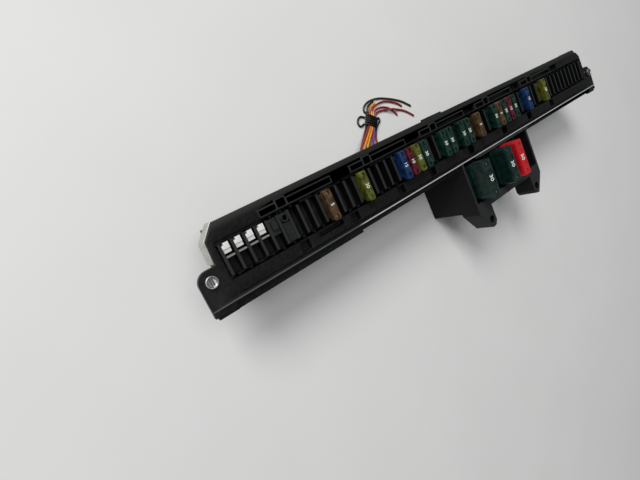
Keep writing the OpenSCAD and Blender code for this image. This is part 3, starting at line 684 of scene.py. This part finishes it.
def plate(bm, thick, outline):
    """Sheet metal cut to an outline in the Y-Z plane."""
    face = bm.faces.new([bm.verts.new((-thick / 2, y, z)) for y, z in outline])
    made = bmesh.ops.extrude_face_region(bm, geom=[face], use_keep_orig=True)["geom"]
    bmesh.ops.translate(bm, vec=(thick, 0, 0), verts=verts_in(made))


def link(bm, thick, reach, low, high):
    """The thin bridge that melts: it rises and falls between the two blades."""
    steps = 10
    middle = (low + high) / 2
    swing = (high - low) / 2
    for i in range(steps):
        a, b = (-reach + 2 * reach * j / steps for j in (i, i + 1))
        za, zb = (middle + swing * math.cos(math.pi * y / reach) for y in (a, b))
        plate(bm, thick, [(a, za - LINK_HALF), (b, zb - LINK_HALF), (b, zb + LINK_HALF),
                          (a, za + LINK_HALF)])


def test_point(bm, y):
    """Round metal pad at the bottom of a large fuse's test well."""
    made = bmesh.ops.create_cone(bm, cap_ends=True, segments=24, radius1=TEST_POINT_R,
                                 radius2=TEST_POINT_R, depth=TEST_POINT_HIGH)["verts"]
    bmesh.ops.translate(bm, vec=(0, y, TEST_POINT_TOP - TEST_POINT_HIGH / 2), verts=made)
    rim = [e for e in edges_of(made) if all(v.co.z > TEST_POINT_TOP - 0.1 for v in e.verts)]
    bevel(bm, rim, TEST_POINT_EDGE, 3)


def fuse_shell(kind):
    """Moulded body of a fuse: head and stem, recess for the number, test wells and side windows."""
    bm = bmesh.new()
    rounded_block(bm, *kind["head"], edge=kind["edge"], corner=kind["corner"])
    rounded_block(bm, *kind["stem"], edge=kind["edge"])
    sink(bm, 2, 1, *kind["recess"], kind["recess_depth"])
    half_x, half_y = kind["well"]
    for side in (-1, 1):
        x, y = side * kind["side_x"], side * kind["well_y"]
        (well_low, well_high), (side_low, side_high) = kind["well_z"], kind["side_z"]
        well = sink(bm, 2, 1, (-half_x, y - half_y, well_low), (half_x, y + half_y, well_high),
                    kind["well_depth"])
        if kind["well_corner"]:
            bevel(bm, upright(edges_of(well)), kind["well_corner"], 4)
        sink(bm, 0, side, (x - SIDE_REACH, -kind["side_y"], side_low),
             (x + SIDE_REACH, kind["side_y"], side_high), kind["side_depth"])
    return bm


def make_fuse(body, kind, tint, amps):
    """A fuse in its slot: tinted shell, metal strip and numbered top."""
    node, *element = BODIES[body]
    slot, plastic = tint
    low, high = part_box(node)
    middle = ((low.x + high.x) / 2, (low.y + high.y) / 2, ROW.z)
    place = Matrix.Translation(middle) @ Matrix.Scale(MM, 4)
    piece_of(body + "_shell", fuse_shell(kind), plastic, body, slot, node, place=place, smooth=35)
    metal = bmesh.new()
    for side in (1, -1):
        plate(metal, kind["strip_thick"], [(side * y, z) for y, z in kind["strip"]])
    link(metal, *kind["link"])
    if kind is MAXI:
        for side in (-1, 1):
            test_point(metal, side * kind["well_y"])
    piece_of(body + "_strip", metal, ZINC_ALLOY, body, "fuse_metal", *element, place=place)
    number(body + "_number", amps, kind["number_size"], kind["number_z"], place, body, slot)


for body, nodes in BODIES.items():
    if body.startswith("fuse_"):
        amps = nodes[0].split("_")[-1].rstrip("a")
        make_fuse(body, BLADE, FUSE_TINTS[amps], amps)
for body, amps in {"maxi_1": "30", "maxi_3": "30", "maxi_4": "50"}.items():
    make_fuse(body, MAXI, MAXI_TINTS[amps], amps)

# ---- Table and light ----------------------------------------------------------

TABLE_HALF = 3
SKY = "#E6E8EC"
SKY_STRENGTH = 0.22


def make_table():
    bm = bmesh.new()
    bmesh.ops.create_grid(bm, x_segments=2, y_segments=2, size=TABLE_HALF)
    mesh = bpy.data.meshes.new("table")
    bm.to_mesh(mesh)
    bm.free()
    mesh.materials.append(laminate())
    table = bpy.data.objects.new("table", mesh)
    bpy.context.scene.collection.objects.link(table)


def soft_light(name, place, size, power):
    """A round soft lamp that shines at the middle of the panel."""
    data = bpy.data.lights.new(name, "AREA")
    data.shape = "DISK"
    data.size = size
    data.energy = power
    lamp = bpy.data.objects.new(name, data)
    aim = (-Vector(place)).to_track_quat("-Z", "Y")
    lamp.matrix_world = Matrix.Translation(place) @ aim.to_matrix().to_4x4()
    bpy.context.scene.collection.objects.link(lamp)


def make_sky():
    world = bpy.data.worlds.new("studio")
    world.use_nodes = True
    background = world.node_tree.nodes["Background"]
    background.inputs["Color"].default_value = linear(SKY)
    background.inputs["Strength"].default_value = SKY_STRENGTH
    bpy.context.scene.world = world


make_table()
soft_light("window", (-0.95, 1.6, 1.5), size=1.1, power=40)
soft_light("overhead", (-0.4, 0.5, 2), size=1.2, power=12)
make_sky()
